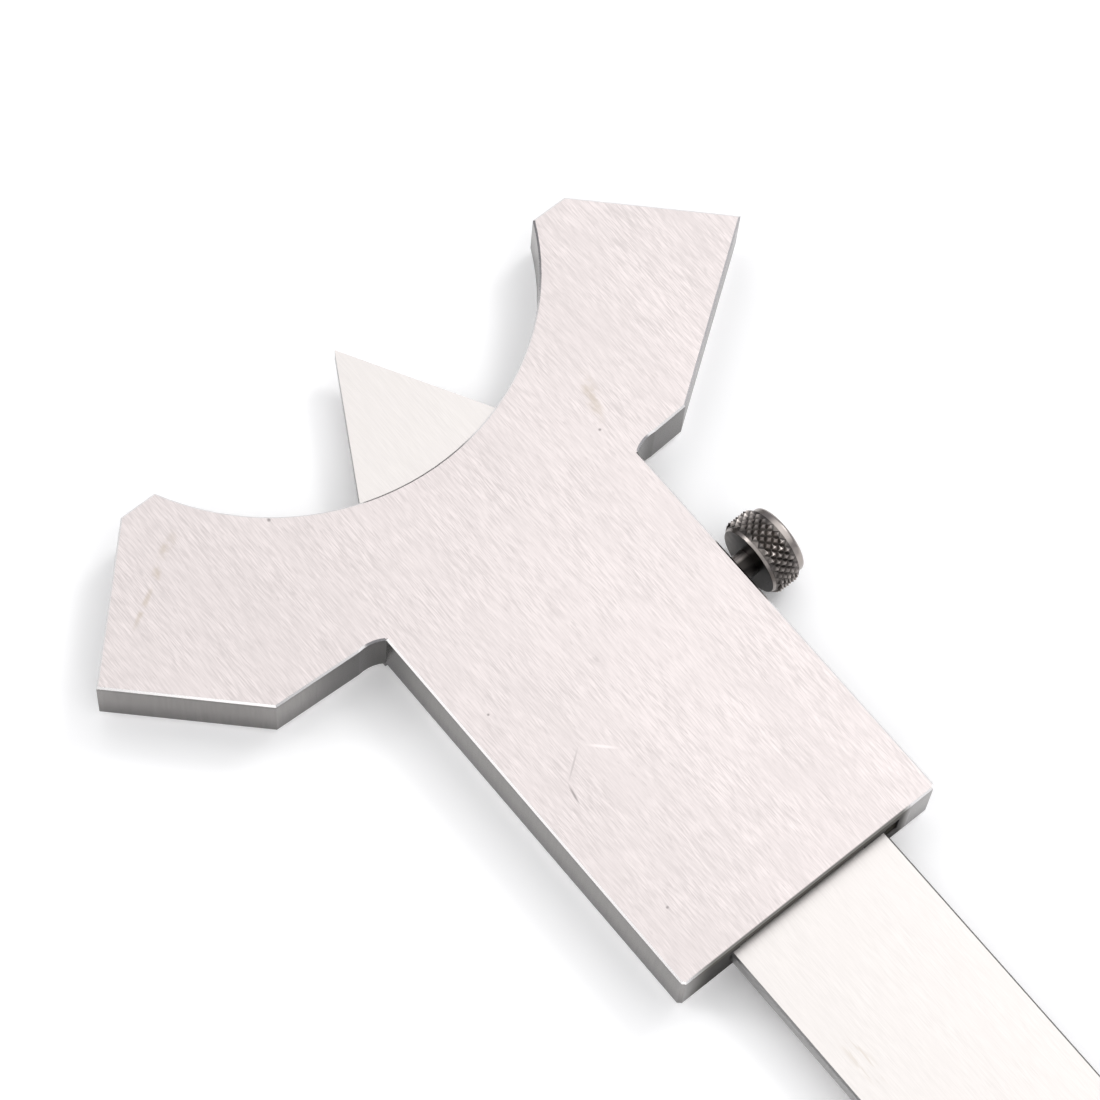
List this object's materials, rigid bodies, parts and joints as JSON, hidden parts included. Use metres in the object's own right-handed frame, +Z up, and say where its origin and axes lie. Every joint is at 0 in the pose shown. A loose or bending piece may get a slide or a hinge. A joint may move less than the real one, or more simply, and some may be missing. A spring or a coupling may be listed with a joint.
{
  "type": "weld gauge",
  "caption": "Vernier weld gauge with a flat steel body, angled measuring wings, a pointed sliding blade and a knurled lock screw",
  "frame": {"origin": "On the floor under the middle of the shank's end edge, which is the centre of the whole gauge with the blade at rest", "axes": "+Y along the blade to its point, +X to the lock screw, +Z up to the plain back; the front face with the vernier window lies on the floor"},
  "size_m": [0.058, 0.1032, 0.0062],
  "materials": {
    "body_steel": "satin, brushed along the shank",
    "blade_steel": "fine ground, bright",
    "spring_steel": "tempered strip",
    "dark_steel": "dark turned steel, knurled",
    "scale_steel": "matt satin with engraved lines",
    "screw_steel": "turned, slotted"
  },
  "bodies": {
    "gauge_body": {"body": "body_steel", "gib_spring": "spring_steel", "vernier_scale": "scale_steel", "vernier_screw_lower": "screw_steel", "vernier_screw_upper": "screw_steel"},
    "sliding_blade": {"blade": "blade_steel"},
    "lock": {"lock_screw": "dark_steel"}
  },
  "joints": [
    {"name": "blade_slide", "type": "slide", "parent": "gauge_body", "child": "sliding_blade", "axis": [0, 1, 0], "range_m": [-0.0115, 0.0186]},
    {"name": "lock_screw_turn", "type": "hinge", "parent": "gauge_body", "child": "lock", "pos_m": [0.0127, 0.0211, 0.00314], "axis": [1, 0, 0], "range_deg": [0, 270]}
  ]
}
